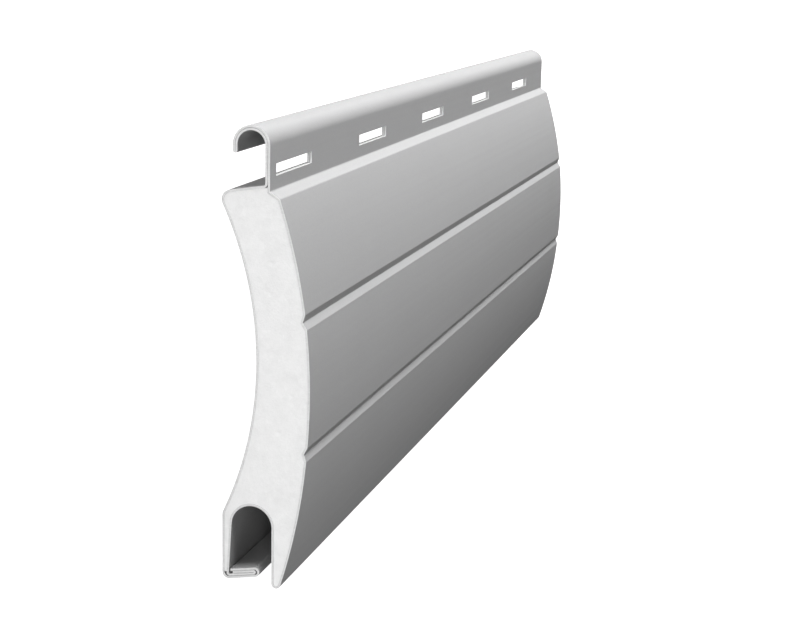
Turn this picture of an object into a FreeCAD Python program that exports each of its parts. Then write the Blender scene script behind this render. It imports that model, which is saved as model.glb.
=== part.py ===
import FreeCAD, Part
import math
import os
from dataclasses import dataclass

import Sketcher

# Roller shutter slat: one aluminium strip, roll-formed and lock-seamed round a foam core.
# Millimetres. +X runs along the slat from the near end to the far end, +Y points to the hook,
# and +Z out of the curved front face. The slat lies on its back, on the plane Z = 0.
# The section is drawn in the YZ plane: depth is measured down from the hook's crown (towards -Y)
# and height up from the rest plane. Its path follows the foam side of the strip, and the
# painted side lies one sheet gauge outside it.

SIZES = {
    # the cut length and the strip
    "slat_length": 195.0,
    "sheet_gauge": 0.33,
    "seam_gap": 0.04,
    # cover height: from the hook's crown to the crown of the pocket that the next hook hangs in
    "cover_height": 55.0,
    # hook and neck, both of the strip laid double
    "hook_radius": 2.75,
    "hook_reach": 3.95,
    "neck_face_height": 7.14,
    "front_root_depth": 9.28,
    "rear_root_depth": 8.53,
    "root_bend": 0.30,
    # front sheet: three bowed bands between the shoulder, two V grooves and the lip
    "front_radius": 92.0,
    "shoulder_depth": 10.28,
    "shoulder_height": 8.34,
    "shoulder_bend": 0.50,
    "groove_edge_bend": 0.45,
    "groove_root_bend": 0.10,
    # grooves: each rise is measured from the pocket's crown towards the hook
    "upper_groove_start_rise": 28.90,
    "upper_groove_start_height": 12.11,
    "upper_groove_root_rise": 27.68,
    "upper_groove_root_height": 11.74,
    "upper_groove_end_rise": 26.58,
    "upper_groove_end_height": 12.40,
    "lower_groove_start_rise": 9.61,
    "lower_groove_start_height": 12.61,
    "lower_groove_root_rise": 8.55,
    "lower_groove_root_height": 12.05,
    "lower_groove_end_rise": 7.42,
    "lower_groove_end_height": 12.44,
    # front lip and the pocket behind it
    "lip_reach": 12.15,
    "lip_radius": 0.70,
    "lip_rear_height": 7.60,
    "pocket_width": 6.15,
    "pocket_depth": 9.30,
    "pocket_foot_height": 0.97,
    "pocket_foot_bend": 0.10,
    # rear sheet: shoulder, hollow back and flat rear wall, which starts below the pocket's crown
    "rear_corner_depth": 9.70,
    "rear_corner_radius": 1.40,
    "rear_radius": 52.6,
    "rear_wall_drop": 1.47,
    "rear_wall_bend": 2.00,
    "bottom_corner_radius": 1.00,
    # lock seam: the strip's two edges, each laid double, hooked together under the pocket. The
    # slope is what the seam gains in depth for each millimetre towards the rear wall.
    "hem_reach": 5.82,
    "hem_slope": 0.173,
    "hem_return_height": 1.30,
    "hem_slack": 0.30,
    # light slots punched through the neck, as many as fit whole with metal left at the far end
    "slot_length": 15.5,
    "slot_height": 1.7,
    "slot_pitch": 39.5,
    "slot_depth": 6.3,
    "first_slot_centre": 10.3,
    "slot_end_margin": 2.0,
    # foam core
    "foam_foot_gap": 0.72,
    "foam_recess": 0.05,
}

# where the sketches' solver starts from: how far the front band leans from upright where it
# runs into the lip, and how far the rear corner and the foam's foot drop
FRONT_LEAN_GUESS = math.radians(17)
DROP_GUESS = 0.1
# the punched volume may differ from the slots' own by this share of one slot
SLOT_TOLERANCE = 0.01


@dataclass(frozen=True)
class Size:
    """A length and the expression that gives it, which sketches and features are bound to."""

    value: float
    text: str

    def __add__(self, other):
        return Size(self.value + other.value, f"{self.text} + {other.text}")

    def __sub__(self, other):
        return Size(self.value - other.value, f"{self.text} - ({other.text})")

    def __mul__(self, factor):
        if isinstance(factor, Size):
            return Size(self.value * factor.value, f"({self.text}) * ({factor.text})")
        return Size(self.value * factor, f"({self.text}) * {factor}")


@dataclass
class Stop:
    """A point of the path. A Size is bound to the sheet, a plain number is a guess that is solved.

    bend is the radius that rounds a corner, and bend_height sets its centre's height. A stop
    without a bend is a sharp joint, or a smooth one where tangent is true.
    """

    depth: object
    height: object
    bend: Size = None
    bend_height: Size = None
    tangent: bool = False

    def point(self):
        depth, height = (c.value if isinstance(c, Size) else c for c in (self.depth, self.height))
        return FreeCAD.Vector(-depth, height, 0)


@dataclass
class Leg:
    """A run of the path up to its end stop: straight, curved, or a half turn.

    side is +1 where the way turns left and -1 where it turns right. level names the
    coordinate that stays the same from one end of the leg to the other.
    """

    end: Stop
    radius: Size = None
    side: int = 0
    level: str = ""
    centre_depth: Size = None
    centre_height: Size = None
    through: Stop = None


@dataclass
class Joint:
    """The end of what was drawn last, and how the next leg meets it."""

    kind: str
    geometry: int
    point: int
    pin: int = None


@dataclass
class Bend:
    """First geometry of a rounded corner."""

    start: FreeCAD.Vector
    end: FreeCAD.Vector
    centre: FreeCAD.Vector
    side: int


def left_of(direction):
    return FreeCAD.Vector(-direction.y, direction.x, 0)


def level_rule(level):
    """The constraint that keeps a height or a depth the same: height runs up the sketch."""
    return "Horizontal" if level == "height" else "Vertical"


class LegShape:
    """First geometry of a leg, good enough for the sketch's solver to start from."""

    def __init__(self, start, leg):
        self.leg = leg
        self.start = start
        self.end = leg.end.point()
        chord = self.end - self.start
        self.first_way = self.last_way = FreeCAD.Vector(chord).normalize()
        self.centre = None
        if leg.radius:
            half = chord.Length / 2
            rise = math.sqrt(max(0.0, leg.radius.value**2 - half**2))
            across = left_of(self.first_way) * leg.side
            self.centre = (self.start + self.end) / 2 + across * rise
            self.first_way = self.way_at(self.start)
            self.last_way = self.way_at(self.end)

    def way_at(self, point):
        """Direction of travel along a curved leg at one of its points."""
        return (left_of(point - self.centre) * self.leg.side).normalize()

    def bend_into(self, after):
        """The round that joins this leg to the one after it at their shared corner."""
        radius = self.leg.end.bend.value
        way_in, way_out = self.last_way, after.first_way
        turn = math.atan2(way_in.cross(way_out).z, way_in.dot(way_out))
        side = 1 if turn > 0 else -1
        cut = radius * math.tan(abs(turn) / 2)
        start = self.end - way_in * cut
        return Bend(start, self.end + way_out * cut, start + left_of(way_in) * radius * side, side)


def leg_shapes(start, legs):
    shapes = []
    point = start.point()
    for leg in legs:
        shapes.append(LegShape(point, leg))
        point = leg.end.point()
    return shapes


class Outline:
    """A path of legs drawn in a sketch and bound to the sheet."""

    def __init__(self, sketch, start, legs, closed=False):
        self.sketch = sketch
        self.constraints = []
        self.bindings = []
        self.draw(start, legs, closed)
        first = sketch.ConstraintCount
        sketch.addConstraint(self.constraints)
        for index, size in self.bindings:
            name = f"{sketch.Name}_{first + index}"
            sketch.renameConstraint(first + index, name)
            sketch.setExpression(f"Constraints.{name}", size.text)

    def rule(self, *words):
        self.constraints.append(Sketcher.Constraint(*words))

    def bound(self, kind, *words_and_size):
        """Adds a constraint whose value follows a Size."""
        *words, size = words_and_size
        self.bindings.append((len(self.constraints), size))
        self.rule(kind, *words, size.value)

    def place(self, geometry, point, depth, height):
        """Binds a point's depth and height where they are Sizes, and leaves guesses free."""
        if isinstance(depth, Size):
            self.bound("DistanceX", geometry, point, -1, 1, depth)
        if isinstance(height, Size):
            self.bound("DistanceY", -1, 1, geometry, point, height)

    def line(self, start, end):
        return self.sketch.addGeometry(Part.LineSegment(start, end), False), 1, 2

    def arc(self, centre, radius, start, end, side):
        """Draws an arc and returns it with the numbers of its first and its last point."""
        first, last = (math.atan2(p.y - centre.y, p.x - centre.x) for p in (start, end))
        if side < 0:
            first, last = last, first
        circle = Part.Circle(centre, FreeCAD.Vector(0, 0, 1), radius)
        geometry = self.sketch.addGeometry(Part.ArcOfCircle(circle, first, last), False)
        return (geometry, 1, 2) if side > 0 else (geometry, 2, 1)

    def draw_leg(self, shape, start, end):
        leg = shape.leg
        if leg.radius is None:
            drawn = self.line(start, end)
            if leg.level:
                self.rule(level_rule(leg.level), drawn[0])
            return drawn
        drawn = self.arc(shape.centre, leg.radius.value, start, end, leg.side)
        geometry, first, last = drawn
        self.bound("Radius", geometry, leg.radius)
        self.place(geometry, 3, leg.centre_depth, leg.centre_height)
        if leg.level:
            self.rule(level_rule(leg.level), geometry, first, geometry, 3)
            self.rule(level_rule(leg.level), geometry, first, geometry, last)
        return drawn

    def draw_bend(self, stop, bend, geometry, point):
        """Rounds the corner after the given leg, and marks the corner itself."""
        arc, first, last = self.arc(bend.centre, stop.bend.value, bend.start, bend.end, bend.side)
        self.bound("Radius", arc, stop.bend)
        self.rule("Tangent", geometry, point, arc, first)
        if stop.bend_height:
            self.place(arc, 3, None, stop.bend_height)
        return Joint("bend", arc, last, self.pin(stop, geometry))

    def draw(self, start, legs, closed):
        """Draws the legs in turn, each joined to the one before it, and rounds the corners."""
        shapes = leg_shapes(start, legs)
        begin = start.point()
        joint = opening = None
        for shape, after in zip(shapes, [*shapes[1:], None]):
            stop = shape.leg.end
            bend = shape.bend_into(after) if stop.bend and after else None
            geometry, first, last = self.draw_leg(shape, begin, bend.start if bend else shape.end)
            if joint:
                self.join(joint, geometry, first)
            else:
                self.place(geometry, first, start.depth, start.height)
                opening = (geometry, first)
            if shape.leg.through:
                self.pin(shape.leg.through, geometry)
            if bend:
                joint = self.draw_bend(stop, bend, geometry, last)
                begin = bend.end
                continue
            joint = Joint("smooth" if stop.tangent else "sharp", geometry, last)
            begin = shape.end
            if after or not closed:
                self.place(geometry, last, stop.depth, stop.height)
        if closed:
            self.rule("Coincident", joint.geometry, joint.point, *opening)

    def join(self, joint, geometry, point):
        rule = "Coincident" if joint.kind == "sharp" else "Tangent"
        self.rule(rule, joint.geometry, joint.point, geometry, point)
        if joint.kind == "bend":
            self.rule("PointOnObject", joint.pin, 1, geometry)

    def pin(self, stop, geometry):
        """Marks a stop with a construction point that the given leg runs through."""
        point = self.sketch.addGeometry(Part.Point(stop.point()), True)
        self.place(point, 1, stop.depth, stop.height)
        self.rule("PointOnObject", point, 1, geometry)
        return point


def sheet_of_sizes(document):
    """Puts the driving dimensions in the spreadsheet, and returns them as Sizes by name."""
    sheet = document.addObject("Spreadsheet::Sheet", "Sizes")
    sizes = {}
    for row, (name, value) in enumerate(SIZES.items(), start=1):
        sheet.set(f"A{row}", name)
        sheet.set(f"B{row}", str(value))
        sheet.setAlias(f"B{row}", name)
        sizes[name] = Size(value, f"Sizes.{name}")
    document.recompute()
    return sizes


def sketch_on(body, role, name):
    """A new sketch on one of the body's own origin planes."""
    plane = next(plane for plane in body.Origin.OriginFeatures if plane.Role == role)
    sketch = body.newObject("Sketcher::SketchObject", name)
    sketch.AttachmentSupport = [(plane, "")]
    sketch.MapMode = "FlatFace"
    return sketch


def new_body(document, label, at_crown):
    """A body whose frame sits at the hook's crown, half the overall height above the origin."""
    body = document.addObject("PartDesign::Body", label)
    body.Label = label
    body.setExpression("Placement.Base.y", at_crown.text)
    return body


class Section:
    """Sizes of the section, worked out once, and the stretches of path that both pieces share."""

    def __init__(self, z):
        gauge, gap = z["sheet_gauge"], z["seam_gap"]
        self.z = z
        self.gauge = gauge
        self.overall_height = z["cover_height"] + z["lip_reach"]
        # neck: its front layer and its rear layer, each at the foam side
        self.neck_front = z["neck_face_height"] - gauge
        self.neck_rear = self.neck_front - gap
        self.tip_radius = gauge + gap * 0.5
        # lock seam: the rear wall's edge folds round the pocket wall's edge, which is folded too
        self.hem_top = z["cover_height"] + z["pocket_depth"]
        self.hem_fold = gauge + gap * 1.5
        self.hem_fold_height = z["hem_reach"] - gauge - self.hem_fold
        self.inner_fold = gauge + gap * 0.5
        self.inner_fold_height = self.hem_fold_height - z["hem_slack"]
        self.inner_edge_height = z["hem_return_height"] + z["hem_slack"]
        # pocket
        self.arch_radius = z["pocket_width"] * 0.5
        self.arch_depth = z["cover_height"] + self.arch_radius
        self.arch_height = z["lip_rear_height"] - self.arch_radius
        foot_height = z["pocket_foot_height"] - gauge
        foot_depth = self.seam_depth(gauge * 3 + gap * 2, foot_height)
        self.pocket_foot = Stop(foot_depth, foot_height, bend=z["pocket_foot_bend"] + gauge)
        self.foam_foot = foot_depth - z["foam_foot_gap"]
        self.rear_wall = Stop(
            z["cover_height"] + z["rear_wall_drop"], gauge, bend=z["rear_wall_bend"] - gauge
        )

    def seam_depth(self, across, height):
        """Depth inside the slanting lock seam, at a distance across its layers from its top."""
        slope = self.z["hem_slope"]
        slant = Size(math.hypot(1, slope.value), f"sqrt(1 + ({slope.text}) ^ 2)")
        return self.hem_top + across * slant + (self.hem_fold_height - height) * slope

    def groove(self, name):
        """The three corners of a V groove, from its edge nearer the lip to its other edge."""
        z = self.z
        edge = z["groove_edge_bend"] - self.gauge
        root = z["groove_root_bend"] + self.gauge
        corners = []
        for place, bend in (("end", edge), ("root", root), ("start", edge)):
            depth = z["cover_height"] - z[f"{name}_groove_{place}_rise"]
            corners.append(Stop(depth, z[f"{name}_groove_{place}_height"], bend=bend))
        return corners

    def pocket_and_front(self, through=None):
        """From the pocket's rear wall, over its arch and round the lip, up to the shoulder."""
        z, gauge = self.z, self.gauge
        arch, lip = self.arch_radius + gauge, z["lip_radius"] - gauge
        lip_depth = self.overall_height - z["lip_radius"]
        wall_height = z["lip_rear_height"] + gauge
        front = z["front_radius"] - gauge
        rear_spring = Stop(
            self.arch_depth.value, (self.arch_height - arch).value, tangent=True
        )
        front_spring = Stop(self.arch_depth.value, wall_height.value, tangent=True)
        lip_start = Stop(lip_depth.value, wall_height.value, tangent=True)
        lip_end = Stop(
            lip_depth.value + lip.value * math.sin(FRONT_LEAN_GUESS),
            (wall_height + lip).value + lip.value * math.cos(FRONT_LEAN_GUESS),
            tangent=True,
        )
        legs = [
            Leg(rear_spring, through=through),
            Leg(
                front_spring,
                radius=arch,
                side=1,
                centre_depth=self.arch_depth,
                centre_height=self.arch_height,
            ),
            Leg(lip_start, level="height"),
            Leg(lip_end, radius=lip, side=-1, centre_depth=lip_depth),
        ]
        for name in ("lower", "upper"):
            near, *others = self.groove(name)
            legs.append(Leg(near, radius=front, side=-1))
            legs += [Leg(stop) for stop in others]
        shoulder_bend = z["shoulder_bend"] - gauge
        shoulder = Stop(z["shoulder_depth"], z["shoulder_height"], bend=shoulder_bend)
        legs.append(Leg(shoulder, radius=front, side=-1))
        return legs

    def rear(self):
        """From the rear shoulder, round the corner that the slat lies on, along the hollow back."""
        z, gauge = self.z, self.gauge
        corner = Stop(
            z["rear_corner_depth"],
            -DROP_GUESS,
            bend=z["rear_corner_radius"] - gauge,
            bend_height=z["rear_corner_radius"],
        )
        return [Leg(corner), Leg(self.rear_wall, radius=z["rear_radius"] + gauge, side=1)]


def strip_path(section):
    """The whole strip, from its edge inside the lock seam to its edge in the pocket."""
    z, gauge = section.z, section.gauge
    gap, bend = z["seam_gap"], z["root_bend"] + section.gauge
    outer, inner = z["hook_radius"] - gauge, z["hook_radius"] - gauge - gap
    # lock seam's inner hook: from the strip's edge round its fold to the pocket's wall
    edge_height, fold_height = section.inner_edge_height, section.inner_fold_height
    start = Stop(section.seam_depth(gauge + gap, edge_height), edge_height)
    fold_start = Stop(section.seam_depth(gauge + gap, fold_height), fold_height, tangent=True)
    fold_end = section.seam_depth(gauge * 3 + gap * 2, fold_height)
    legs = [
        Leg(fold_start),
        Leg(
            Stop(fold_end.value, fold_height.value, tangent=True),
            radius=section.inner_fold,
            side=1,
        ),
        Leg(section.pocket_foot),
    ]
    legs += section.pocket_and_front()
    # neck front, hook, fold at the hook's tip, hook again and neck rear
    crown = z["hook_radius"]
    tip = z["hook_reach"] - section.tip_radius
    hook_end = section.neck_front.value - 2 * outer.value
    legs += [
        Leg(Stop(z["front_root_depth"], section.neck_front, bend=bend)),
        Leg(Stop(crown, section.neck_front.value), level="height"),
        Leg(Stop(crown.value, hook_end), radius=outer, side=-1, level="depth"),
        Leg(Stop(tip, hook_end), level="height"),
        Leg(Stop(tip.value, hook_end + gap.value), radius=gap * 0.5, side=-1, level="depth"),
        Leg(Stop(crown, hook_end + gap.value), level="height"),
        Leg(Stop(crown.value, section.neck_rear.value), radius=inner, side=1, level="depth"),
        Leg(Stop(z["rear_root_depth"], section.neck_rear.value, bend=bend), level="height"),
    ]
    legs += section.rear()
    # flat rear wall and the lock seam's outer hook: bottom layer, fold and top layer
    bottom, fold_height = gauge * 3 + gap * 3, section.hem_fold_height
    corner = section.seam_depth(bottom, gauge)
    fold_end = section.seam_depth(gauge, fold_height)
    end_height = z["hem_return_height"]
    legs += [
        Leg(Stop(corner, gauge, bend=z["bottom_corner_radius"] - gauge)),
        Leg(Stop(section.seam_depth(bottom, fold_height), fold_height, tangent=True)),
        Leg(
            Stop(fold_end.value, fold_height.value, tangent=True),
            radius=section.hem_fold,
            side=-1,
        ),
        Leg(Stop(section.seam_depth(gauge, end_height), end_height)),
    ]
    return start, legs


def foam_path(section):
    """The closed outline of the foam, on the strip's foam side from the neck to the lock seam."""
    z = section.z
    start = Stop(section.foam_foot, section.gauge)
    inner_wall = Stop(section.foam_foot.value, section.pocket_foot.height.value + DROP_GUESS)
    foot = Stop(section.pocket_foot.depth, section.pocket_foot.height)
    legs = [Leg(inner_wall, level="depth")]
    legs += section.pocket_and_front(through=foot)
    legs += [
        Leg(Stop(z["front_root_depth"], section.neck_front)),
        Leg(Stop(z["rear_root_depth"], section.neck_rear)),
    ]
    legs += section.rear()
    legs.append(Leg(Stop(start.depth.value, start.height.value)))
    return start, legs


def rectangle(sketch, left, width, depth, rise):
    """A rectangle from `left` of the origin and `depth` below it, `width` wide and `rise` high."""
    low = FreeCAD.Vector(-left.value, -depth.value, 0)
    high = low + FreeCAD.Vector(width.value, rise.value, 0)
    corners = [low, FreeCAD.Vector(high.x, low.y, 0), high, FreeCAD.Vector(low.x, high.y, 0)]
    for number, corner in enumerate(corners):
        sketch.addGeometry(Part.LineSegment(corner, corners[(number + 1) % 4]), False)
    rules = [Sketcher.Constraint("Coincident", n, 2, (n + 1) % 4, 1) for n in range(4)]
    rules += [Sketcher.Constraint("Horizontal", n) for n in (0, 2)]
    rules += [Sketcher.Constraint("Vertical", n) for n in (1, 3)]
    sketch.addConstraint(rules)
    measured = {
        "left": (Sketcher.Constraint("DistanceX", 0, 1, -1, 1, left.value), left),
        "width": (Sketcher.Constraint("DistanceX", 0, 1, 0, 2, width.value), width),
        "depth": (Sketcher.Constraint("DistanceY", 0, 1, -1, 1, depth.value), depth),
        "rise": (Sketcher.Constraint("DistanceY", 1, 1, 1, 2, rise.value), rise),
    }
    for name, (constraint, size) in measured.items():
        index = sketch.addConstraint(constraint)
        sketch.renameConstraint(index, name)
        sketch.setExpression(f"Constraints.{name}", size.text)


def aluminium_skin(document, section):
    """The strip swept along its folds, with the light slots punched through the neck."""
    z = section.z
    body = new_body(document, "aluminium_skin", section.overall_height * 0.5)
    folds = sketch_on(body, "YZ_Plane", "folds")
    start, legs = strip_path(section)
    Outline(folds, start, legs)
    # the strip's own section: its cut length by its gauge, square to its edge inside the seam
    edge = sketch_on(body, "XY_Plane", "strip_edge")
    lean = FreeCAD.Rotation(FreeCAD.Vector(-1, 0, 0), math.degrees(math.atan(z["hem_slope"].value)))
    edge.AttachmentOffset = FreeCAD.Placement(FreeCAD.Vector(), lean)
    edge.setExpression("AttachmentOffset.Base.y", f"-({start.depth.text})")
    edge.setExpression("AttachmentOffset.Base.z", start.height.text)
    edge.setExpression("AttachmentOffset.Rotation.Angle", f"atan({z['hem_slope'].text})")
    rectangle(edge, z["slat_length"] * 0.5, z["slat_length"], z["sheet_gauge"], z["sheet_gauge"])
    document.recompute()
    strip = body.newObject("PartDesign::AdditivePipe", "strip")
    strip.Profile = edge
    strip.Spine = folds
    strip.Transition = "Right corner"
    document.recompute()
    whole = strip.Shape.Volume
    slot = sketch_on(body, "XY_Plane", "slot")
    rectangle(
        slot,
        z["slat_length"] * 0.5 - z["first_slot_centre"] + z["slot_length"] * 0.5,
        z["slot_length"],
        z["slot_depth"] + z["slot_height"] * 0.5,
        z["slot_height"],
    )
    punch = body.newObject("PartDesign::Pocket", "punch")
    punch.Profile = slot
    punch.Type = "ThroughAll"
    punch.Reversed = True
    pattern = body.newObject("PartDesign::LinearPattern", "slots")
    pattern.Originals = [punch]
    pattern.Direction = (slot, ["H_Axis"])
    room = z["slat_length"] - z["first_slot_centre"] - z["slot_length"] * 0.5 - z["slot_end_margin"]
    pitches = f"floor(({room.text}) / Sizes.slot_pitch)"
    pattern.setExpression("Length", f"{pitches} * Sizes.slot_pitch")
    pattern.setExpression("Occurrences", f"{pitches} + 1")
    body.Tip = pattern
    document.recompute()
    one_slot = z["slot_length"].value * z["slot_height"].value * 2 * z["sheet_gauge"].value
    punched = whole - body.Shape.Volume
    if abs(punched - one_slot * pattern.Occurrences) > SLOT_TOLERANCE * one_slot:
        raise RuntimeError(f"the slots take {punched:.2f} mm3, not {one_slot:.2f} mm3 each")
    return body


def foam_core(document, section):
    """The foam that fills the section, ending just short of the strip's cut ends."""
    z = section.z
    body = new_body(document, "foam_core", section.overall_height * 0.5)
    outline = sketch_on(body, "YZ_Plane", "foam_outline")
    Outline(outline, *foam_path(section), closed=True)
    document.recompute()
    pad = body.newObject("PartDesign::Pad", "foam")
    pad.Profile = outline
    pad.Midplane = True
    pad.setExpression("Length", (z["slat_length"] - z["foam_recess"] * 2).text)
    document.recompute()
    return body


def check(document, bodies):
    """Stops unless every object has recomputed and every piece is one valid solid."""
    for item in document.Objects:
        if "Invalid" in item.State or "Error" in item.State:
            raise RuntimeError(f"{item.Name} failed: {item.State}")
        if item.isDerivedFrom("Sketcher::SketchObject"):
            if item.solve() != 0 or not item.FullyConstrained:
                raise RuntimeError(f"sketch {item.Name} isn't fully constrained")
    for body in bodies:
        if body.Shape.isNull() or not body.Shape.isValid() or len(body.Shape.Solids) != 1:
            raise RuntimeError(f"{body.Label} isn't one valid solid")


def main():
    document = FreeCAD.newDocument("roller_shutter_slat")
    section = Section(sheet_of_sizes(document))
    bodies = [aluminium_skin(document, section), foam_core(document, section)]
    document.recompute()
    check(document, bodies)
    os.makedirs("parts", exist_ok=True)
    for body in bodies:
        body.Shape.exportStep(f"parts/{body.Label}.step")
        box = body.Shape.BoundBox
        print(
            f"{body.Label}: {body.Shape.Volume:.1f} mm3, "
            f"x {box.XMin:.2f} to {box.XMax:.2f}, y {box.YMin:.2f} to {box.YMax:.2f}, "
            f"z {box.ZMin:.3f} to {box.ZMax:.3f}"
        )


main()
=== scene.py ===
"""Roller shutter slat: the looks of its folded strip and foam core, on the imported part.

The part's own frame: +X along the slat, +Y towards its hook, +Z out of its front. Sizes of the
slat are written in millimetres and become metres where geometry is made; the studio is in metres.
The section is traced in depth (down from the hook's crown) and height (up from the plane that
the slat lies on), with the strip's foam side as the line that is traced.
"""

import logging
import math
from dataclasses import dataclass, field
from enum import Enum

import bmesh
import bpy
from mathutils import Matrix, Vector, noise


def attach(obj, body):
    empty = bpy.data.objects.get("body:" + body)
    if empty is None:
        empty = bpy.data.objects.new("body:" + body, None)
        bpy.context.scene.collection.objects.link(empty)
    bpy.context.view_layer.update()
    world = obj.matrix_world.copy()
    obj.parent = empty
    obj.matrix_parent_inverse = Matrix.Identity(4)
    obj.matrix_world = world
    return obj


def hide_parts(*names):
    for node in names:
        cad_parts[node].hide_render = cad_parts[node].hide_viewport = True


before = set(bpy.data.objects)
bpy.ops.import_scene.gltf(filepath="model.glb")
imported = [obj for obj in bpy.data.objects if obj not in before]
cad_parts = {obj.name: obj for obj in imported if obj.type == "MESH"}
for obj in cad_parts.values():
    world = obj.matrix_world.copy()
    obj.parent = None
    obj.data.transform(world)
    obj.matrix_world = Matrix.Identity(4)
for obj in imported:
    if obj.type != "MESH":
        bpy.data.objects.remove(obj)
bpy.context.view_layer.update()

logging.basicConfig(level=logging.INFO, format="%(message)s")
log = logging.getLogger("slat")

MM = 0.001
MASK_LOW, MASK_HIGH = 0.25, 0.75  # the range that noise about 0.5 mostly keeps to

Source = bpy.types.NodeSocket | float | tuple[float, ...]
Setting = bpy.types.NodeTree | str | bool


# Stretches of the folded section


@dataclass(frozen=True)
class Flat:
    """A straight stretch of the traced line.

    Attributes:
        length: its length in millimetres.
    """

    length: float

    def trace(self, pen: "Pen") -> None:
        """Draws the stretch."""
        pen.advance(self.length)


@dataclass(frozen=True)
class Bend:
    """A round stretch of the traced line, or a sharp corner where the radius is nought.

    Attributes:
        radius: radius in millimetres.
        turn: angle in degrees, positive to the left.
        steps: number of edges.
    """

    radius: float
    turn: float
    steps: int = 4

    def trace(self, pen: "Pen") -> None:
        """Draws the stretch."""
        pen.curve(self.radius, self.turn, self.steps)


Stretch = Flat | Bend

# the strip and the foam share these two runs
POCKET_TO_SHOULDER: tuple[Stretch, ...] = (
    Bend(3.405, 176.64268, 32),  # arch of the pocket
    Flat(8.375),
    Bend(0.37, -162.65714, 12),  # lip
    Bend(91.67, -12.10335, 14),  # lowest band
    Bend(0.12, -24.28074, 4),  # lower groove
    Flat(0.98313),
    Bend(0.43, 46.88881, 6),
    Flat(0.98767),
    Bend(0.12, -23.26068, 4),
    Bend(91.67, -10.5906, 14),  # middle band
    Bend(0.12, -24.96005, 4),  # upper groove
    Flat(1.06555),
    Bend(0.43, 47.83519, 6),
    Flat(1.05735),
    Bend(0.12, -25.20307, 4),
    Bend(91.67, -10.12435, 14),  # highest band
    Bend(0.17, -38.37559, 5),  # shoulder
)
REAR_CORNER_TO_WALL: tuple[Stretch, ...] = (
    Bend(1.07, -105.783, 12),  # rear corner
    Bend(52.93, 50.50453, 36),  # hollow back
    Bend(1.67, -25.18135, 6),
)


class Pen:
    """Traces a chain of edges in the plane of the section, from a start and a heading.

    Attributes:
        mesh: the bmesh that holds the chain.
        tip: the vertex drawn last.
        heading: direction of travel in degrees from +Y towards +Z.
    """

    def __init__(self, mesh: bmesh.types.BMesh, at: Vector, heading: float) -> None:
        """Puts the pen down.

        Args:
            mesh: an empty bmesh.
            at: the chain's first point.
            heading: direction of travel in degrees.
        """
        self.mesh = mesh
        self.tip = mesh.verts.new(at)
        self.heading = heading

    def way(self) -> Vector:
        """Returns the direction of travel as a unit vector."""
        angle = math.radians(self.heading)
        return Vector((0.0, math.cos(angle), math.sin(angle)))

    def advance(self, length: float) -> None:
        """Draws a straight edge.

        Args:
            length: in millimetres.
        """
        out = bmesh.ops.extrude_vert_indiv(self.mesh, verts=[self.tip])
        self.tip = out["verts"][0]
        bmesh.ops.translate(self.mesh, verts=out["verts"], vec=self.way() * length * MM)

    def curve(self, radius: float, turn: float, steps: int) -> None:
        """Draws an arc.

        Args:
            radius: in millimetres; nought only turns the pen.
            turn: in degrees, positive to the left.
            steps: number of edges.
        """
        if radius:
            aside = Vector((0.0, -self.way().z, self.way().y)) * math.copysign(radius * MM, turn)
            out = bmesh.ops.spin(
                self.mesh,
                geom=[self.tip],
                cent=self.tip.co + aside,
                axis=(1.0, 0.0, 0.0),
                angle=math.radians(turn),
                steps=steps,
                use_merge=False,
                use_duplicate=False,
            )
            self.tip = next(v for v in out["geom_last"] if isinstance(v, bmesh.types.BMVert))
        self.heading += turn


@dataclass(frozen=True)
class Section:
    """Where the section stands in the part's frame, in millimetres.

    Attributes:
        length: cut length of the slat.
        crown: distance of the hook's crown from the origin, along +Y.
    """

    length: float = 195.0
    crown: float = 33.575

    def point(self, depth: float, height: float, along: float = 0.0) -> Vector:
        """Returns the point at a depth below the hook's crown, a height and a place along X."""
        return Vector((along, self.crown - depth, height)) * MM


def finish_object(mesh: bmesh.types.BMesh, name: str) -> bpy.types.Object:
    """Turns a bmesh into a smooth-shaded object at the origin.

    Args:
        mesh: the finished bmesh, which is freed.
        name: name of the object and of its mesh.

    Returns:
        The object, linked to the scene.
    """
    data = bpy.data.meshes.new(name)
    mesh.to_mesh(data)
    mesh.free()
    data.shade_smooth()
    piece = bpy.data.objects.new(name, data)
    bpy.context.scene.collection.objects.link(piece)
    return piece


# Finishes


class Graph:
    """A node tree and the few calls that fill it.

    Attributes:
        tree: the tree.
    """

    def __init__(self, tree: bpy.types.NodeTree) -> None:
        """Takes a node tree over, empty.

        Args:
            tree: tree of a material, a group or the world.
        """
        self.tree = tree
        tree.nodes.clear()

    def add(self, kind: str, **settings: Setting) -> bpy.types.Node:
        """Adds a node.

        Args:
            kind: the node's type name.
            settings: attributes of the node, by name.

        Returns:
            The node.
        """
        node = self.tree.nodes.new(kind)
        for name, value in settings.items():
            setattr(node, name, value)
        return node

    def feed(self, node: bpy.types.Node, **sources: Source) -> bpy.types.Node:
        """Sets sockets of a node, each to a value or from another socket.

        Args:
            node: the node.
            sources: values or output sockets, by the input's name with underscores for spaces.

        Returns:
            The same node.
        """
        for name, source in sources.items():
            socket = node.inputs[name.replace("_", " ")]
            if isinstance(source, bpy.types.NodeSocket):
                self.tree.links.new(source, socket)
            else:
                socket.default_value = source
        return node

    def math(
        self, operation: str, a: bpy.types.NodeSocket, b: bpy.types.NodeSocket
    ) -> bpy.types.NodeSocket:
        """Adds a Math node for two varying values.

        Args:
            operation: the node's operation.
            a: first socket.
            b: second socket.

        Returns:
            The socket of the result.
        """
        node = self.add("ShaderNodeMath", operation=operation)
        self.tree.links.new(a, node.inputs[0])
        self.tree.links.new(b, node.inputs[1])
        return node.outputs[0]


class Effect(Enum):
    """Effects that several finishes share, each a node group."""

    GRAIN = "fine grain"
    STREAKS = "drawn streaks"


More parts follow.
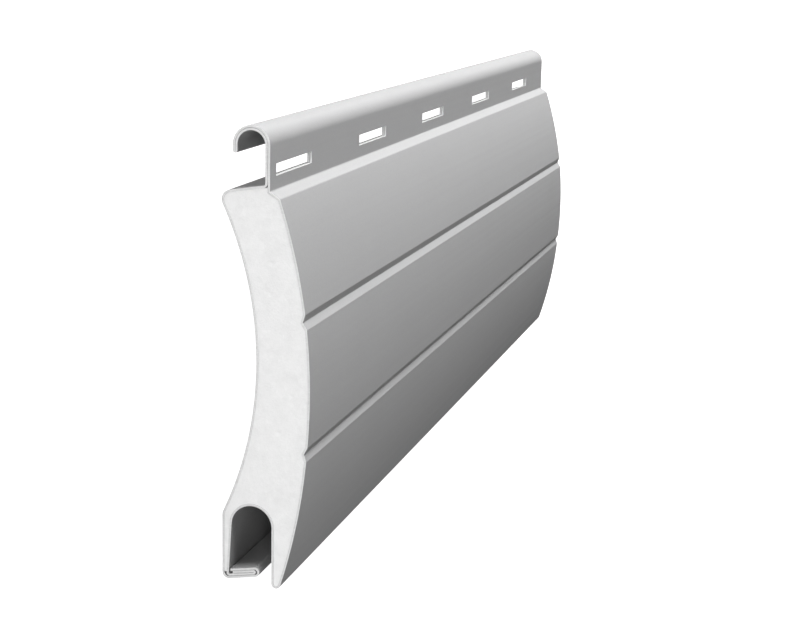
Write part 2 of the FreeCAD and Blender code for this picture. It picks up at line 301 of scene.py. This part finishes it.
def group_graph(
    effect: Effect, inputs: dict[str, float], outputs: tuple[str, ...]
) -> Graph:
    """Starts a node group with its sockets.

    Args:
        effect: the effect that the group gives.
        inputs: its float inputs and their defaults.
        outputs: names of its float outputs.

    Returns:
        The graph of the group, with nodes named "in" and "out".
    """
    group = bpy.data.node_groups.new(effect.value, "ShaderNodeTree")
    for name, value in inputs.items():
        socket = group.interface.new_socket(name, in_out="INPUT", socket_type="NodeSocketFloat")
        socket.default_value = value
    for name in outputs:
        group.interface.new_socket(name, in_out="OUTPUT", socket_type="NodeSocketFloat")
    graph = Graph(group)
    graph.add("NodeGroupInput", name="in")
    graph.add("NodeGroupOutput", name="out")
    return graph


def build_grain() -> None:
    """Builds the grain: soft clouds, and small cells that differ from one another."""
    graph = group_graph(
        Effect.GRAIN, {"Clouds": 300.0, "Cells": 3000.0, "Mix": 0.5}, ("Shade", "Height")
    )
    given = graph.tree.nodes["in"].outputs
    place = graph.add("ShaderNodeTexCoord").outputs["Object"]
    clouds = graph.feed(
        graph.add("ShaderNodeTexNoise"), Vector=place, Scale=given["Clouds"], Detail=4.0
    )
    cells = graph.feed(graph.add("ShaderNodeTexVoronoi"), Vector=place, Scale=given["Cells"])
    tint = graph.feed(graph.add("ShaderNodeSeparateColor"), Color=cells.outputs["Color"])
    shade = graph.add("ShaderNodeMix", data_type="FLOAT")
    graph.feed(shade, Factor=given["Mix"], A=clouds.outputs[0], B=tint.outputs[0])
    graph.feed(
        graph.tree.nodes["out"], Shade=shade.outputs[0], Height=cells.outputs["Distance"]
    )


def build_streaks() -> None:
    """Builds the streaks: noise drawn out along one axis."""
    graph = group_graph(
        Effect.STREAKS, {"Scale X": 4.0, "Scale Y": 900.0, "Scale Z": 900.0}, ("Shade",)
    )
    given = graph.tree.nodes["in"].outputs
    place = graph.add("ShaderNodeTexCoord").outputs["Object"]
    scale = graph.feed(
        graph.add("ShaderNodeCombineXYZ"),
        X=given["Scale X"],
        Y=given["Scale Y"],
        Z=given["Scale Z"],
    )
    drawn = graph.add("ShaderNodeVectorMath", operation="MULTIPLY")
    graph.tree.links.new(place, drawn.inputs[0])
    graph.tree.links.new(scale.outputs[0], drawn.inputs[1])
    lines = graph.feed(
        graph.add("ShaderNodeTexNoise"), Vector=drawn.outputs[0], Scale=1.0, Detail=3.0
    )
    graph.feed(graph.tree.nodes["out"], Shade=lines.outputs[0])


@dataclass(frozen=True)
class Finish:
    """What every finish has, and the steps that they share.

    Attributes:
        name: name of the material.
        tone: its mean colour, linear.
        roughness: its mean roughness.
        metallic: how far it is bare metal.
        specular: strength of its gloss.
    """

    name: str
    tone: tuple[float, float, float]
    roughness: float
    metallic: float = 0.0
    specular: float = 0.5

    def start(self) -> tuple[bpy.types.Material, Graph, bpy.types.Node]:
        """Starts the material, with the values that don't vary set on its shader.

        Returns:
            The material, its graph and its shader.
        """
        material = bpy.data.materials.new(self.name)
        material.use_nodes = True
        graph = Graph(material.node_tree)
        shader = graph.add("ShaderNodeBsdfPrincipled")
        out = graph.add("ShaderNodeOutputMaterial")
        graph.feed(out, Surface=shader.outputs[0])
        graph.feed(shader, Metallic=self.metallic, Specular_IOR_Level=self.specular)
        return material, graph, shader

    def place(self, graph: Graph, effect: Effect, **values: float) -> bpy.types.Node:
        """Returns a node that puts a shared effect in this finish, with its own values."""
        node = graph.add("ShaderNodeGroup", node_tree=bpy.data.node_groups[effect.value])
        return graph.feed(node, **values)

    def spread(
        self, graph: Graph, source: bpy.types.NodeSocket, swing: float, middle: float = 1.0
    ) -> bpy.types.NodeSocket:
        """Turns a mask about 0.5 into a value about `middle`.

        Args:
            graph: graph to add to.
            source: socket of the mask.
            swing: how far the value goes to either side.
            middle: the mean value.

        Returns:
            The socket of the value.
        """
        node = graph.feed(
            graph.add("ShaderNodeMapRange", clamp=False),
            Value=source,
            From_Min=MASK_LOW,
            From_Max=MASK_HIGH,
            To_Min=middle - swing,
            To_Max=middle + swing,
        )
        return node.outputs[0]

    def shade(self, graph: Graph, factor: bpy.types.NodeSocket) -> bpy.types.NodeSocket:
        """Makes the finish's tone lighter or darker.

        Args:
            graph: graph to add to.
            factor: socket of a factor about 1.

        Returns:
            The socket of the colour.
        """
        node = graph.add("ShaderNodeVectorMath", operation="SCALE")
        node.inputs[0].default_value = self.tone
        graph.feed(node, Scale=factor)
        return node.outputs[0]


@dataclass(frozen=True)
class SatinPaint(Finish):
    """Coil-coated paint: fine flakes, a soft skin and faint lines drawn by the rollers.

    Attributes:
        flake_swing: how far the flakes are lighter or darker than the tone.
        line_swing: the same of the rollers' lines.
        gloss_swing: how far the lines change the roughness.
        skin_depth: height of the skin's waves, in millimetres.
    """

    name: str = "satin_grey_paint"
    tone: tuple[float, float, float] = (0.27, 0.27, 0.272)
    roughness: float = 0.5
    specular: float = 0.35
    flake_swing: float = 0.025
    line_swing: float = 0.012
    gloss_swing: float = 0.04
    skin_depth: float = 0.004

    def build(self) -> bpy.types.Material:
        """Makes the material.

        Returns:
            The material.
        """
        material, graph, shader = self.start()
        grain = self.place(graph, Effect.GRAIN, Clouds=90.0, Cells=7000.0, Mix=0.6)
        streaks = self.place(graph, Effect.STREAKS)
        skin = graph.feed(
            graph.add("ShaderNodeTexNoise"),
            Vector=graph.add("ShaderNodeTexCoord").outputs["Object"],
            Scale=1400.0,
            Detail=2.0,
        )
        flake = self.spread(graph, grain.outputs["Shade"], self.flake_swing)
        line = self.spread(graph, streaks.outputs["Shade"], self.line_swing)
        graph.feed(shader, Base_Color=self.shade(graph, graph.math("MULTIPLY", flake, line)))
        dull = self.spread(graph, streaks.outputs["Shade"], self.gloss_swing, self.roughness)
        graph.feed(shader, Roughness=dull)
        bump = graph.feed(
            graph.add("ShaderNodeBump"),
            Strength=0.5,
            Distance=self.skin_depth * MM,
            Height=skin.outputs[0],
        )
        graph.feed(shader, Normal=bump.outputs[0])
        return material


@dataclass(frozen=True)
class ShearedEdge(Finish):
    """Bare aluminium where the strip was sawn and punched: bright, with fine cut marks.

    Attributes:
        mark_swing: how far the cut marks are lighter or darker than the tone.
        wear_swing: the same of the wear between them.
        gloss_swing: how far the marks change the roughness.
        mark_depth: depth of the marks, in millimetres.
    """

    name: str = "sheared_aluminium"
    tone: tuple[float, float, float] = (0.62, 0.62, 0.62)
    roughness: float = 0.5
    metallic: float = 0.3
    mark_swing: float = 0.08
    wear_swing: float = 0.06
    gloss_swing: float = 0.1
    mark_depth: float = 0.01

    def build(self) -> bpy.types.Material:
        """Makes the material.

        Returns:
            The material.
        """
        material, graph, shader = self.start()
        marks = self.place(graph, Effect.STREAKS, Scale_X=2500.0, Scale_Y=5000.0, Scale_Z=500.0)
        grain = self.place(graph, Effect.GRAIN, Clouds=2500.0, Cells=9000.0, Mix=0.3)
        light = self.spread(graph, marks.outputs["Shade"], self.mark_swing)
        worn = self.spread(graph, grain.outputs["Shade"], self.wear_swing)
        graph.feed(shader, Base_Color=self.shade(graph, graph.math("MULTIPLY", light, worn)))
        dull = self.spread(graph, marks.outputs["Shade"], self.gloss_swing, self.roughness)
        graph.feed(shader, Roughness=dull)
        bump = graph.feed(
            graph.add("ShaderNodeBump"),
            Strength=0.6,
            Distance=self.mark_depth * MM,
            Height=marks.outputs["Shade"],
        )
        graph.feed(shader, Normal=bump.outputs[0])
        return material


@dataclass(frozen=True)
class SawnFoam(Finish):
    """Rigid polyurethane foam, sawn across: fine cells in an almost white body.

    Attributes:
        cell_swing: how far single cells are lighter or darker than the tone.
        patch_swing: the same of patches of denser and looser foam.
        gloss_swing: how far the cells change the roughness.
        pore_edge: distances from a pore's middle between which its wall rises, in its own width.
        pore_shade_tone: factor on the tone, painted shade: darker in a pore's hollow middle and a
            touch lighter on the wall round it.
        cell_depth: depth of the cells that the geometry leaves out, in millimetres.
    """

    name: str = "white_foam"
    tone: tuple[float, float, float] = (0.72, 0.72, 0.72)
    roughness: float = 0.9
    cell_swing: float = 0.03
    patch_swing: float = 0.035
    gloss_swing: float = 0.05
    pore_edge: tuple[float, float] = (0.08, 0.42)
    pore_shade_tone: tuple[float, float] = (0.95, 1.01)
    cell_depth: float = 0.015

    def build(self) -> bpy.types.Material:
        """Makes the material.

        Returns:
            The material.
        """
        material, graph, shader = self.start()
        grain = self.place(graph, Effect.GRAIN, Clouds=750.0, Cells=2200.0, Mix=0.2)
        body = self.place(graph, Effect.GRAIN, Clouds=330.0, Cells=900.0, Mix=0.2)
        cell = self.spread(graph, grain.outputs["Shade"], self.cell_swing)
        patch = self.spread(graph, body.outputs["Shade"], self.patch_swing)
        pores = self.place(graph, Effect.GRAIN, Clouds=2600.0, Cells=4800.0, Mix=0.5)
        # painted shade: each pore's hollow middle, where the bump sinks, is darker, and its wall a
        # touch lighter
        pore = graph.feed(
            graph.add("ShaderNodeMapRange", interpolation_type="SMOOTHSTEP"),
            Value=pores.outputs["Height"],
            From_Min=self.pore_edge[0],
            From_Max=self.pore_edge[1],
            To_Min=self.pore_shade_tone[0],
            To_Max=self.pore_shade_tone[1],
        )
        # the mottle carries random tone and the pores' painted shade
        mottle = graph.math("MULTIPLY", graph.math("MULTIPLY", cell, patch), pore.outputs[0])
        graph.feed(shader, Base_Color=self.shade(graph, mottle))
        dull = self.spread(graph, grain.outputs["Shade"], self.gloss_swing, self.roughness)
        graph.feed(shader, Roughness=dull)
        wall = graph.math("ADD", pores.outputs["Height"], grain.outputs["Height"])
        bump = graph.feed(
            graph.add("ShaderNodeBump"),
            Strength=0.6,
            Distance=self.cell_depth * MM,
            Height=wall,
        )
        graph.feed(shader, Normal=bump.outputs[0])
        return material


@dataclass(frozen=True)
class PaleFloor(Finish):
    """The studio's white table, lit through from below, with a faint mottle.

    Attributes:
        glow: light that the table gives the slat.
        white: brightness of the table in the picture.
        mottle_swing: how far the mottle is lighter or darker than the tone.
    """

    name: str = "pale_floor"
    tone: tuple[float, float, float] = (0.3, 0.3, 0.3)
    roughness: float = 0.9
    glow: float = 0.34
    white: float = 1.1
    mottle_swing: float = 0.01

    def build(self) -> bpy.types.Material:
        """Makes the material.

        Returns:
            The material.
        """
        material, graph, shader = self.start()
        grain = self.place(graph, Effect.GRAIN, Clouds=40.0, Cells=400.0, Mix=0.2)
        factor = self.spread(graph, grain.outputs["Shade"], self.mottle_swing)
        graph.feed(shader, Base_Color=self.shade(graph, factor), Roughness=self.roughness)
        seen = graph.feed(
            graph.add("ShaderNodeMapRange"),
            Value=graph.add("ShaderNodeLightPath").outputs["Is Camera Ray"],
            To_Min=self.glow,
            To_Max=self.white,
        )
        graph.feed(shader, Emission_Color=seen.outputs[0], Emission_Strength=1.0)
        return material


# Sub-assemblies


@dataclass
class FoldedStrip:
    """The aluminium strip: one ribbon, folded along its length and punched through its neck.

    Lengths are in millimetres and angles in degrees.

    Attributes:
        section: where the section stands.
        gauge: thickness of the painted strip.
        start: depth and height of the strip's edge inside the lock seam.
        heading: direction in which the strip leaves that edge.
        slot_length: length of a light slot.
        slot_pitch: distance from slot to slot.
        slot_band: depths between which the slots lie.
        slot_count: number of slots.
        first_slot: distance of the first slot's middle from the near end.
        neck_height: height of the middle of the neck's two layers.
        edge_round: rounding of the sheared edges.
        edge_segments: number of facets of that rounding.
        edge_angle: least angle of an edge that is rounded.
        piece: the dressed object, once it is built.
    """

    section: Section
    gauge: float = 0.33
    start: tuple[float, float] = (65.281, 1.6)
    heading: float = 80.18498
    slot_length: float = 15.5
    slot_pitch: float = 39.5
    slot_band: tuple[float, float] = (5.45, 7.15)
    slot_count: int = 5
    first_slot: float = 10.3
    neck_height: float = 6.79
    edge_round: float = 0.01
    edge_segments: int = 2
    edge_angle: float = 50.0
    piece: bpy.types.Object | None = field(init=False, default=None)

    def stretches(self) -> tuple[Stretch, ...]:
        """Lists the strip's whole run.

        Returns:
            The stretches from the strip's first edge in the lock seam, by the pocket's lining,
            the front, the hook, the back and the wall, to its second edge, in the lock seam too.
        """
        pocket = (
            Flat(3.24753),  # first edge, hooked into the lock seam
            Bend(0.35, 180.0, 10),
            Flat(3.80064),
            Bend(0.43, 103.17234, 6),
            Flat(7.75386),  # rear side of the pocket
        )
        slot_width = self.slot_band[1] - self.slot_band[0]
        neck_and_hook = (
            Flat(1.42782),  # slope from the shoulder down to the neck
            Bend(0.63, 56.83158, 6),
            Flat(1.78914),  # front layer of the neck
            Flat(slot_width),
            Flat(2.7),
            Bend(2.42, -180.0, 32),  # outer layer of the hook
            Flat(0.85),
            Bend(0.02, -180.0, 8),  # the strip is folded flat on itself
            Flat(0.85),
            Bend(2.38, 180.0, 32),  # inner layer of the hook
            Flat(2.7),  # rear layer of the neck
            Flat(slot_width),
            Flat(0.84704),
            Bend(0.63, 80.45983, 8),
            Flat(5.09218),  # rear flank
        )
        wall_and_seam = (
            Flat(8.60979),  # wall that the slat lies on
            Bend(0.67, -99.81502, 8),
            Flat(4.04499),  # outer layer of the lock seam
            Bend(0.39, -180.0, 12),
            Flat(3.72151),  # second edge, inside the first one's hook
        )
        return pocket + POCKET_TO_SHOULDER + neck_and_hook + REAR_CORNER_TO_WALL + wall_and_seam

    def slots(self) -> list[tuple[float, float]]:
        """Lays the slots out.

        Returns:
            The near and far end of each slot along X, in millimetres.
        """
        middle = self.first_slot - self.section.length / 2
        half = self.slot_length / 2
        middles = [middle + n * self.slot_pitch for n in range(self.slot_count)]
        return [(m - half, m + half) for m in middles]

    def build(self) -> None:
        """Traces the section, draws the ribbon out along X and punches it."""
        mesh = bmesh.new()
        depth, height = self.start
        half = self.section.length / 2
        pen = Pen(mesh, self.section.point(depth, height, -half), self.heading)
        for stretch in self.stretches():
            stretch.trace(pen)
        stations = [x for slot in self.slots() for x in slot] + [half]
        edges = list(mesh.edges)
        along = -half
        for station in stations:
            out = bmesh.ops.extrude_edge_only(mesh, edges=edges)["geom"]
            drawn = [g for g in out if isinstance(g, bmesh.types.BMVert)]
            fresh = set(drawn)
            edges = [
                g for g in out
                if isinstance(g, bmesh.types.BMEdge) and fresh.issuperset(g.verts)
            ]
            bmesh.ops.translate(mesh, verts=drawn, vec=((station - along) * MM, 0.0, 0.0))
            along = station
        self.punch(mesh)
        bmesh.ops.recalc_face_normals(mesh, faces=mesh.faces)
        self.piece = finish_object(mesh, "folded_strip")

    def punch(self, mesh: bmesh.types.BMesh) -> None:
        """Takes the light slots out of both layers of the neck.

        Args:
            mesh: the ribbon, before it has its gauge.
        """
        upper, lower = (self.section.crown - depth for depth in self.slot_band)
        band = (lower * MM, upper * MM)
        slots = [(near * MM, far * MM) for near, far in self.slots()]

        def in_slot(face: bmesh.types.BMFace) -> bool:
            """Tells whether a face of the ribbon lies inside a slot.

            Args:
                face: the face.

            Returns:
                Whether it is waste.
            """
            middle = face.calc_center_median()
            on_neck = abs(middle.z - self.neck_height * MM) < self.gauge * MM
            in_band = band[0] < middle.y < band[1]
            return on_neck and in_band and any(near < middle.x < far for near, far in slots)

        waste = [face for face in mesh.faces if in_slot(face)]
        bmesh.ops.delete(mesh, geom=waste, context="FACES")

    def dress(self, paint: bpy.types.Material, sheared: bpy.types.Material) -> None:
        """Gives the ribbon its gauge, its sheared edges and its finishes, and puts it on the part.

        Args:
            paint: finish of the strip's faces.
            sheared: finish of its cut edges.
        """
        piece = self.piece
        piece.data.materials.append(paint)
        piece.data.materials.append(sheared)
        gauge = piece.modifiers.new("gauge", "SOLIDIFY")
        gauge.thickness = self.gauge * MM
        gauge.offset = 1.0
        gauge.use_even_offset = True
        gauge.use_rim = True
        gauge.material_offset_rim = 1
        edge = piece.modifiers.new("edge", "BEVEL")
        edge.width = self.edge_round * MM
        edge.segments = self.edge_segments
        edge.limit_method = "ANGLE"
        edge.angle_limit = math.radians(self.edge_angle)
        edge.use_clamp_overlap = True
        weighted = piece.modifiers.new("weighted", "WEIGHTED_NORMAL")
        weighted.mode = "FACE_AREA"
        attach(piece, "root")
        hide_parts("aluminium_skin")


@dataclass
class FoamCore:
    """The foam that fills the strip, sawn off with it: its end faces show the cut cells.

    Lengths are in millimetres and angles in degrees.

    Attributes:
        section: where the section stands.
        recess: how far the foam stops short of the strip's cut ends.
        foot: depth and height of the foam's foot, beside the lock seam.
        heading: direction in which the outline leaves the foot.
        weld: distance under which the outline's ends are one point.
        grid: size of the facets of the end faces.
        cell: width of a cell.
        wall_slope: how fast a cut cell's wall falls off beside its middle line.
        relief: greatest height of the cut cells' walls.
        pit_spacing: mean distance between opened cells.
        pit_slope: how fast an opened cell gets shallower away from its middle.
        pit: greatest depth of an opened cell.
        sharp_angle: least angle of an edge that is shaded sharp.
        piece: the dressed object, once it is built.
    """

    section: Section
    recess: float = 0.05
    foot: tuple[float, float] = (65.43747, 0.33)
    heading: float = 90.0
    weld: float = 0.005
    grid: float = 0.2
    quick_grid: int = 3
    cell: float = 0.9
    wall_slope: float = 2.5
    relief: float = 0.01
    pit_spacing: float = 3.1
    pit_slope: float = 7.0
    pit: float = 0.12
    sharp_angle: float = 40.0
    piece: bpy.types.Object | None = field(init=False, default=None)

    def stretches(self) -> tuple[Stretch, ...]:
        """Lists the foam's closed outline.

        Returns:
            The stretches from the foot, by the pocket, the front, the rear flank, the hollow back
            and the wall, to the foot again.
        """
        foot = (Flat(0.35224), Bend(0.0, -86.64268), Flat(7.57488))
        neck_root = (
            Flat(1.76868),  # under the shoulder's slope
            Bend(0.0, 53.7787),
            Flat(0.75107),
            Bend(0.0, -96.48729),
            Flat(5.62514),  # under the rear flank
        )
        return foot + POCKET_TO_SHOULDER + neck_root + REAR_CORNER_TO_WALL + (Flat(8.59142),)

    def build(self) -> None:
        """Fills the outline at both ends, cuts the fills into a grid and joins them."""
        mesh = bmesh.new()
        reach = self.section.length / 2 - self.recess
        pen = Pen(mesh, self.section.point(*self.foot, -reach), self.heading)
        for stretch in self.stretches():
            stretch.trace(pen)
        bmesh.ops.remove_doubles(mesh, verts=mesh.verts, dist=self.weld * MM)
        bmesh.ops.contextual_create(mesh, geom=mesh.edges)
        self.cut_grid(mesh)
        near = list(mesh.faces)
        rim = [e for e in mesh.edges if e.is_boundary]
        copy = bmesh.ops.duplicate(mesh, geom=mesh.verts[:] + mesh.edges[:] + mesh.faces[:])
        moved = [g for g in copy["geom"] if isinstance(g, bmesh.types.BMVert)]
        bmesh.ops.translate(mesh, verts=moved, vec=(2 * reach * MM, 0.0, 0.0))
        far_rim = [copy["edge_map"][e] for e in rim]
        self.roughen(near)
        self.roughen([g for g in copy["geom"] if isinstance(g, bmesh.types.BMFace)])
        bmesh.ops.bridge_loops(mesh, edges=rim + far_rim)
        bmesh.ops.recalc_face_normals(mesh, faces=mesh.faces)
        self.piece = finish_object(mesh, "sawn_foam")

    def cut_grid(self, mesh: bmesh.types.BMesh) -> None:
        """Cuts the filled end face along Y and Z.

        Args:
            mesh: the bmesh that holds the end face alone.
        """
        step = self.grid * 1 * MM
        for axis in (Vector((0.0, 1.0, 0.0)), Vector((0.0, 0.0, 1.0))):
            reach = [v.co.dot(axis) for v in mesh.verts]
            place = min(reach) + step
            while place < max(reach) - step / 2:
                geom = mesh.verts[:] + mesh.edges[:] + mesh.faces[:]
                bmesh.ops.bisect_plane(mesh, geom=geom, plane_co=axis * place, plane_no=axis)
                place += step

    def roughen(self, faces: list[bmesh.types.BMFace]) -> None:
        """Raises the walls of the cut cells and sinks the opened ones.

        Args:
            faces: the faces of one end, whose rim stays where it is.
        """
        inner = {v for face in faces for v in face.verts if not v.is_boundary}
        for vert in inner:
            outwards = math.copysign(1.0, vert.co.x)
            cells = noise.voronoi(vert.co / (self.cell * MM))[0]
            wall = 1.0 - min(1.0, (cells[1] - cells[0]) * self.wall_slope)
            nearest_pit = noise.voronoi(vert.co / (self.pit_spacing * MM))[0][0]
            sunk = max(0.0, 1.0 - nearest_pit * self.pit_slope)
            vert.co.x += outwards * (self.relief * wall - self.pit * sunk) * MM

    def dress(self, foam: bpy.types.Material) -> None:
        """Gives the foam its finish and puts it on the part.

        Args:
            foam: finish of the foam.
        """
        self.piece.data.materials.append(foam)
        self.piece.data.set_sharp_from_angle(angle=math.radians(self.sharp_angle))
        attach(self.piece, "root")
        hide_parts("foam_core")


# Studio


@dataclass(frozen=True)
class Softbox:
    """A large square lamp that looks at the slat.

    Attributes:
        name: name of the lamp.
        place: where it stands, in metres.
        size: width and height, in metres.
        power: in watts.
    """

    name: str
    place: tuple[float, float, float]
    size: tuple[float, float]
    power: float

    def build(self) -> None:
        """Hangs the lamp."""
        lamp = bpy.data.lights.new(self.name, "AREA")
        lamp.shape = "RECTANGLE"
        lamp.size, lamp.size_y = self.size
        lamp.energy = self.power
        stand = bpy.data.objects.new(self.name, lamp)
        bpy.context.scene.collection.objects.link(stand)
        stand.location = self.place
        stand.rotation_euler = (-Vector(self.place)).to_track_quat("-Z", "Y").to_euler()


@dataclass(frozen=True)
class Viewpoint:
    """The camera, held on its side: the slat lies on its back, its hook at the picture's top.

    Attributes:
        place: where it stands, in millimetres.
        yaw: turn towards the floor, in degrees.
        pitch: tilt towards the lip, in degrees.
        roll: turn about its own axis, in degrees.
        lens: focal length, in millimetres.
        sensor: width of the sensor, in millimetres.
        nearest: least distance that it sees, in metres.
    """

    place: tuple[float, float, float] = (-317.379, 58.297, 86.753)
    yaw: float = 15.404
    pitch: float = 12.471
    roll: float = 1.222
    lens: float = 76.5
    sensor: float = 36.0
    nearest: float = 0.01

    def build(self) -> None:
        """Makes the scene's camera."""
        camera = bpy.data.cameras.new("camera")
        camera.sensor_width = self.sensor
        camera.lens = self.lens
        camera.clip_start = self.nearest
        holder = bpy.data.objects.new("camera", camera)
        bpy.context.scene.collection.objects.link(holder)
        # at nought it looks along +X with +Y up and +Z to the right
        level = Matrix(((0.0, 0.0, -1.0), (0.0, 1.0, 0.0), (1.0, 0.0, 0.0)))
        turn = (
            Matrix.Rotation(math.radians(self.yaw), 3, "Y")
            @ Matrix.Rotation(math.radians(-self.pitch), 3, "X")
            @ Matrix.Rotation(math.radians(self.roll), 3, "Z")
        )
        holder.matrix_world = Matrix.Translation(Vector(self.place) * MM) @ (level @ turn).to_4x4()
        bpy.context.scene.camera = holder


@dataclass(frozen=True)
class Studio:
    """The floor, the soft light and the camera.

    Attributes:
        ambient: strength of the light from all round.
        backdrop: brightness of the white backdrop in the picture.
        floor_size: side of the floor, in metres.
        floor_drop: how far the floor lies under the slat, in millimetres.
        boxes: the lamps.
    """

    ambient: float = 0.01
    backdrop: float = 1.1
    floor_size: float = 40.0
    floor_drop: float = 0.02
    boxes: tuple[Softbox, ...] = (
        Softbox("key", (0.0, 1.25, 0.42), (1.0, 0.6), 27.4),
        Softbox("high_key", (0.0, 1.15, 0.62), (1.0, 0.6), 11.0),
        Softbox("near_end", (-1.28, 0.2, 0.3), (1.0, 0.6), 8.4),
        Softbox("near_fill", (-0.9, -0.8, 0.5), (1.0, 0.6), 4.6),
        Softbox("far_end", (1.2, 0.5, 0.3), (1.0, 0.6), 3.4),
        Softbox("far_side", (0.85, 1.0, 0.3), (1.0, 0.6), 3.6),
        Softbox("overhead", (0.0, -0.5, 1.22), (1.0, 0.6), 2.9),
    )

    def lay_floor(self) -> None:
        """Lays the floor under the slat."""
        mesh = bmesh.new()
        bmesh.ops.create_grid(mesh, x_segments=1, y_segments=1, size=self.floor_size / 2)
        bmesh.ops.translate(mesh, verts=mesh.verts, vec=(0.0, 0.0, -self.floor_drop * MM))
        floor = finish_object(mesh, "floor")
        floor.data.materials.append(PaleFloor().build())

    def light_world(self) -> None:
        """Makes the world: a white backdrop in the picture, a faint light on the slat."""
        world = bpy.data.worlds.new("studio")
        bpy.context.scene.world = world
        world.use_nodes = True
        graph = Graph(world.node_tree)
        seen = graph.feed(
            graph.add("ShaderNodeMapRange"),
            Value=graph.add("ShaderNodeLightPath").outputs["Is Camera Ray"],
            To_Min=self.ambient,
            To_Max=self.backdrop,
        )
        light = graph.feed(
            graph.add("ShaderNodeBackground"),
            Color=(1.0, 1.0, 1.0, 1.0),
            Strength=seen.outputs[0],
        )
        graph.feed(graph.add("ShaderNodeOutputWorld"), Surface=light.outputs[0])

    def build(self) -> None:
        """Sets the floor, the world, the lamps and the camera up."""
        self.lay_floor()
        self.light_world()
        for box in self.boxes:
            box.build()
        bpy.context.scene.view_settings.view_transform = "Standard"
        Viewpoint().build()


def main() -> None:
    """Builds and dresses the pieces in turn, and sets the studio up round them."""
    build_grain()
    build_streaks()
    section = Section()
    strip = FoldedStrip(section)
    strip.build()
    strip.dress(SatinPaint().build(), ShearedEdge().build())
    log.info("%s: %d faces before its gauge", strip.piece.name, len(strip.piece.data.polygons))
    foam = FoamCore(section)
    foam.build()
    foam.dress(SawnFoam().build())
    log.info("%s: %d faces", foam.piece.name, len(foam.piece.data.polygons))
    studio = Studio()
    studio.build()
    log.info("studio: %d softboxes", len(studio.boxes))


if __name__ == "__main__":
    main()
